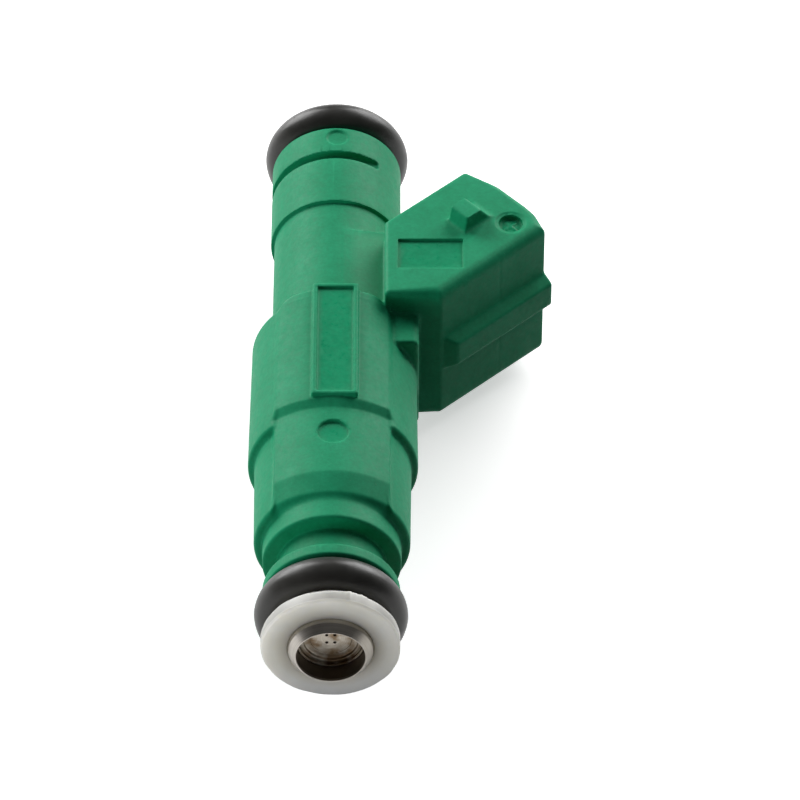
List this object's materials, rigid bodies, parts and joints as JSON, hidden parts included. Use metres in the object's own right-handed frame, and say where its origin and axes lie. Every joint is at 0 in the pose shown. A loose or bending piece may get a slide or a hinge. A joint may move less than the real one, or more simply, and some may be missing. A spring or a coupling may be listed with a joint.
{
  "type": "fuel injector",
  "caption": "Port fuel injector: moulded body with angled blade socket, O-ring at each end, capped nozzle with spray disc, needle valve and solenoid inside.",
  "frame": {"origin": "on the injector's axis, at the centre plane of the lower O-ring, where it seals in the manifold's bore", "axes": "+Y along the axis from the nozzle to the fuel inlet, +Z through the label pad, +X towards the socket's side"},
  "size_m": [0.03, 0.0718, 0.0204],
  "materials": {
    "body_green": "satin moulded glass-filled nylon",
    "terminal_brass": "tin-plated",
    "o_ring_rubber": "satin",
    "cap_plastic": "milky satin",
    "stainless": "turned",
    "spray_steel": "heat-tinted",
    "hard_steel": "ground",
    "magnet_steel": "plain",
    "spring_steel": "drawn",
    "collar_brass": "plain",
    "strainer_nylon": "moulded",
    "strainer_mesh": "woven",
    "bobbin_nylon": "moulded",
    "coil_copper": "enamelled copper"
  },
  "bodies": {
    "housing": {"plastic_body": "body_green", "terminal_blade_left": "terminal_brass", "terminal_blade_right": "terminal_brass", "lower_o_ring": "o_ring_rubber", "upper_o_ring": "o_ring_rubber", "nozzle_cap": "cap_plastic", "valve_body": "stainless", "inlet_tube": "stainless", "spray_disc": "spray_steel", "disc_retainer": "spray_steel", "valve_seat": "hard_steel", "guide_ring": "hard_steel", "return_spring": "spring_steel", "non_magnetic_sleeve": "stainless", "adjusting_sleeve": "stainless", "strainer_collar": "collar_brass", "strainer_frame": "strainer_nylon", "strainer_mesh": "strainer_mesh", "coil_bobbin": "bobbin_nylon", "coil_winding": "coil_copper", "magnet_housing": "magnet_steel", "flux_washer": "magnet_steel"},
    "needle": {"armature": "magnet_steel", "needle_tube": "stainless", "valve_ball": "hard_steel"}
  },
  "joints": [
    {"name": "needle_lift", "type": "slide", "parent": "housing", "child": "needle", "axis": [0, 1, 0], "range_m": [0, 0.0001], "stiffness_N_per_m": 3000, "springref_m": -0.0015, "deforming": ["return_spring"]}
  ]
}
